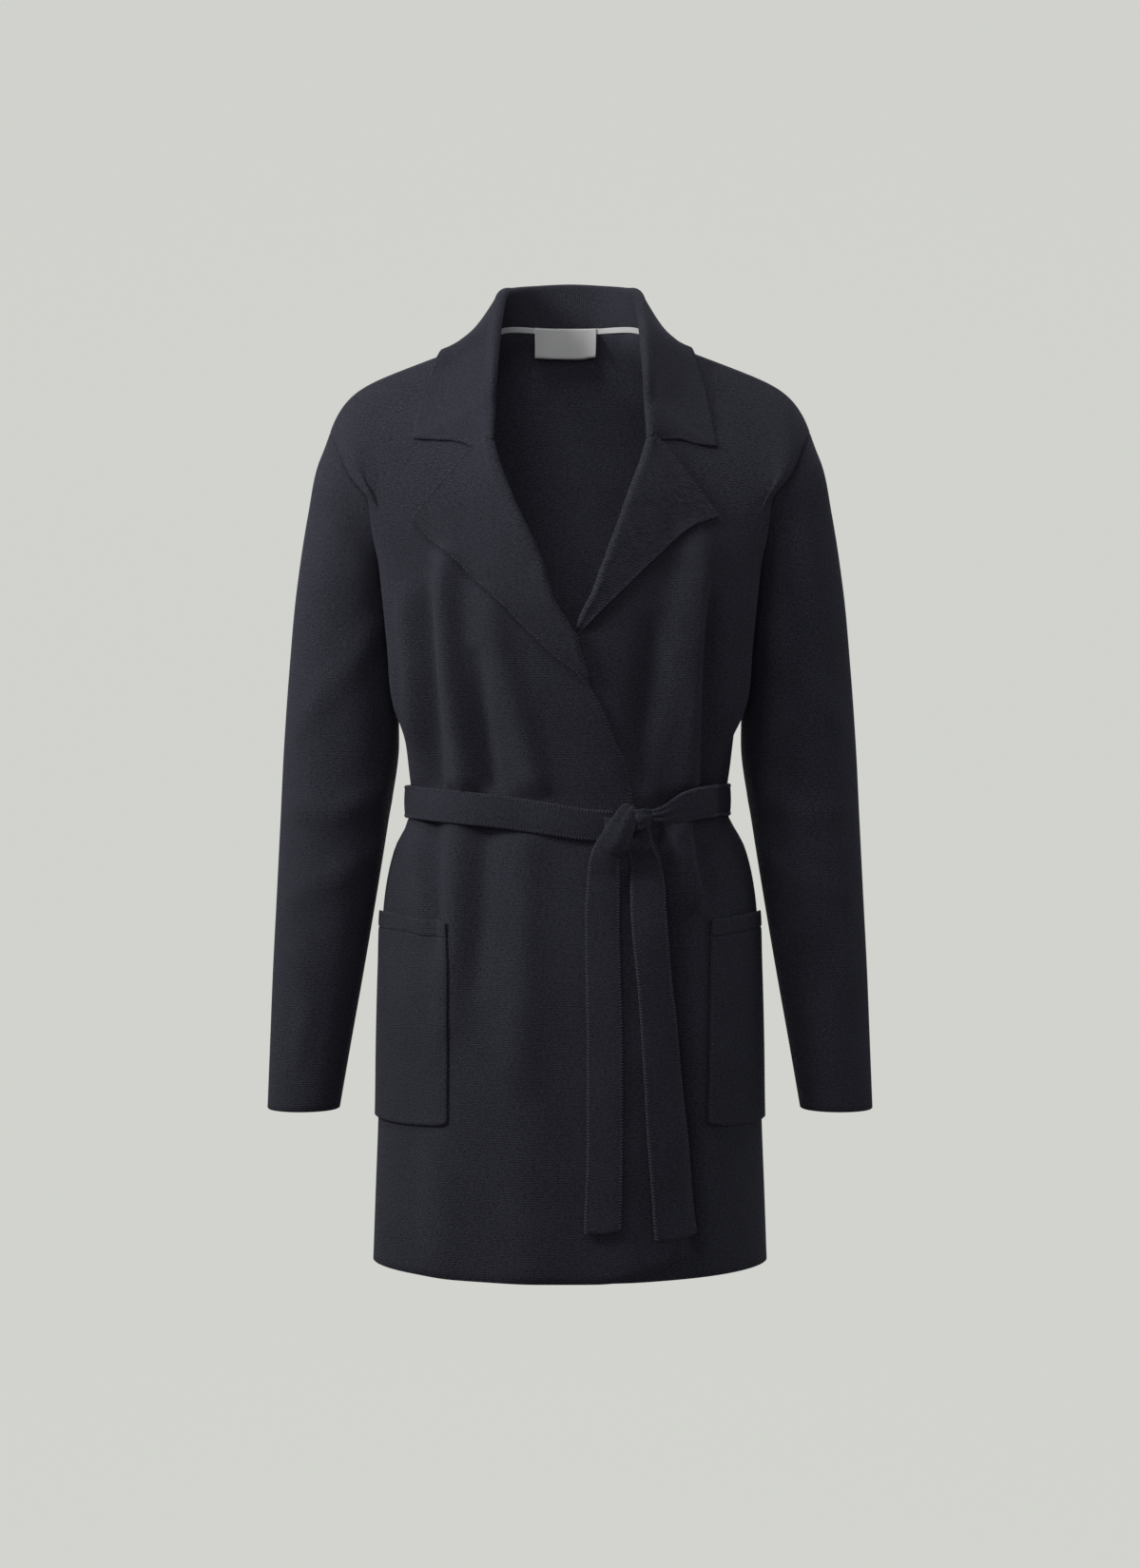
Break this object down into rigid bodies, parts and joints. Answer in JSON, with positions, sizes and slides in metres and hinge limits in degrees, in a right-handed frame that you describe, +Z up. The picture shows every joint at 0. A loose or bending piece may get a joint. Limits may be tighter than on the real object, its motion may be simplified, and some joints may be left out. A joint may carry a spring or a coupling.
{
  "type": "longline wrap cardigan",
  "caption": "Long knitted wrap cardigan with notched collar and lapels, patch pockets, long sleeves and a knotted tie belt, filled out as worn and hollow inside.",
  "frame": {"origin": "middle of the shoulder line, level with the inner ends of the shoulder seams, where the garment is held", "axes": "+X to the wearer's left, +Y to the wearer's back, +Z up"},
  "size_m": [0.534, 0.2341, 0.8759],
  "materials": {
    "back": "matte double knit, very dark navy",
    "front_right": "matte double knit, very dark navy",
    "front_left": "matte double knit, very dark navy",
    "sleeve_right": "matte double knit, very dark navy",
    "sleeve_left": "matte double knit, very dark navy",
    "collar": "matte double knit, very dark navy",
    "pocket_right": "matte double knit, very dark navy",
    "pocket_left": "matte double knit, very dark navy",
    "belt_waist": "matte double knit, very dark navy",
    "belt_knot": "matte double knit, very dark navy",
    "belt_end_right": "matte double knit, very dark navy",
    "belt_end_left": "matte double knit, very dark navy",
    "neck_tape": "white woven tape",
    "label": "white woven label, bare"
  },
  "bodies": {
    "root": {"back": "back", "front_right": "front_right", "front_left": "front_left", "sleeve_right": "sleeve_right", "sleeve_left": "sleeve_left", "collar": "collar", "pocket_right": "pocket_right", "pocket_left": "pocket_left", "belt_waist": "belt_waist", "belt_knot": "belt_knot", "belt_end_right": "belt_end_right", "belt_end_left": "belt_end_left", "neck_tape": "neck_tape", "label": "label"}
  },
  "joints": []
}
